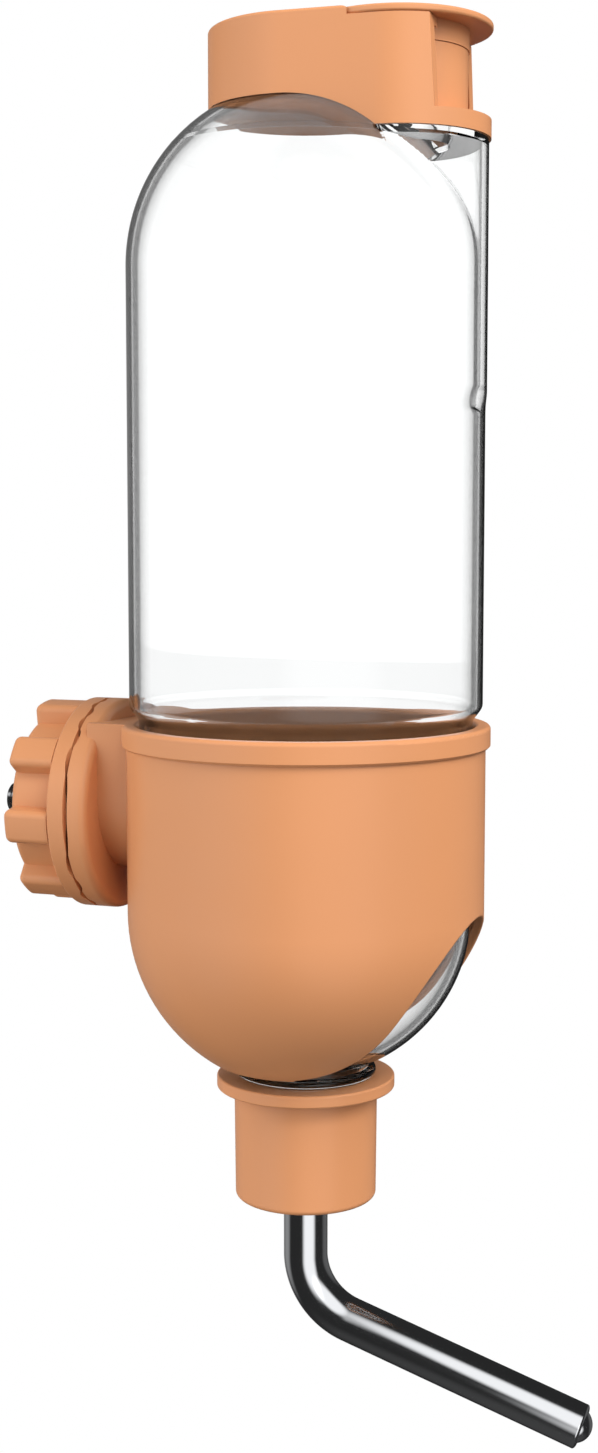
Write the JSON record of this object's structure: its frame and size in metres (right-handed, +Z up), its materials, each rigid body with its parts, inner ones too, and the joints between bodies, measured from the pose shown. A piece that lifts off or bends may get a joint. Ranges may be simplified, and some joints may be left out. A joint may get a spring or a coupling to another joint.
{
  "type": "cage water bottle",
  "caption": "Clear domed bottle in a clamp-on cup, with a flip-lid filler on top and a bent steel ball-valve drinking tube below.",
  "frame": {"origin": "middle of the gap between the two clamp jaws, on the clamp bolt's axis", "axes": "+X from the cage bars to the bottle and the nozzle, +Z up, along the cage bars and the bottle"},
  "size_m": [0.1182, 0.069, 0.2586],
  "materials": {
    "orange_plastic": "satin moulded",
    "clear_plastic": "clear gloss",
    "polished_steel": "mirror polished",
    "plain_steel": "zinc plated",
    "silicone": "matte translucent"
  },
  "bodies": {
    "holder": {"holder_cup": "orange_plastic", "clamp_bolt": "plain_steel"},
    "jaw": {"clamp_plate": "orange_plastic", "clamp_washer": "plain_steel"},
    "knob": {"clamp_knob": "orange_plastic", "knob_nut": "plain_steel"},
    "bottle": {"bottle_body": "clear_plastic", "filler_housing": "orange_plastic", "filler_gasket": "silicone", "lid_hinge_pin": "plain_steel"},
    "lid": {"flip_lid": "orange_plastic", "lid_plug_seal": "silicone"},
    "outlet_seal": {"tube_grommet": "silicone", "cap_gasket": "silicone"},
    "cap": {"screw_cap": "orange_plastic"},
    "nozzle": {"nozzle_tube": "polished_steel", "tube_collar": "plain_steel"},
    "balls": {"tip_ball": "polished_steel", "backup_ball": "polished_steel"}
  },
  "joints": [
    {"name": "jaw_travel", "type": "slide", "parent": "holder", "child": "jaw", "axis": [-1, 0, 0], "range_m": [0, 0.008]},
    {"name": "knob_turn", "type": "hinge", "parent": "jaw", "child": "knob", "pos_m": [-0.0085, 0, 0], "axis": [-1, 0, 0], "range_deg": [0, 2880]},
    {"name": "bottle_lift", "type": "slide", "parent": "holder", "child": "bottle", "axis": [0, 0, 1], "range_m": [0, 0.078]},
    {"name": "lid_flip", "type": "hinge", "parent": "bottle", "child": "lid", "pos_m": [0.0385, 0, 0.1406], "axis": [0, -1, 0], "range_deg": [0, 105]},
    {"name": "cap_advance", "type": "slide", "parent": "bottle", "child": "outlet_seal", "axis": [0, 0, -1], "range_m": [0, 0.009]},
    {"name": "cap_turn", "type": "hinge", "parent": "outlet_seal", "child": "cap", "pos_m": [0.0406, 0, -0.062], "axis": [0, 0, -1], "range_deg": [0, 1080]},
    {"name": "nozzle_swivel", "type": "hinge", "parent": "outlet_seal", "child": "nozzle", "pos_m": [0.0406, 0, -0.07], "axis": [0, 0, 1], "range_deg": [-360, 0]},
    {"name": "ball_push", "type": "slide", "parent": "nozzle", "child": "balls", "axis": [-0.9532, 0, 0.3024], "range_m": [0, 0.003]}
  ],
  "couplings": [
    {"joint": "knob_turn", "follows": "jaw_travel", "rad_per_m": 6283.2},
    {"joint": "cap_turn", "follows": "cap_advance", "rad_per_m": 2094.4}
  ]
}
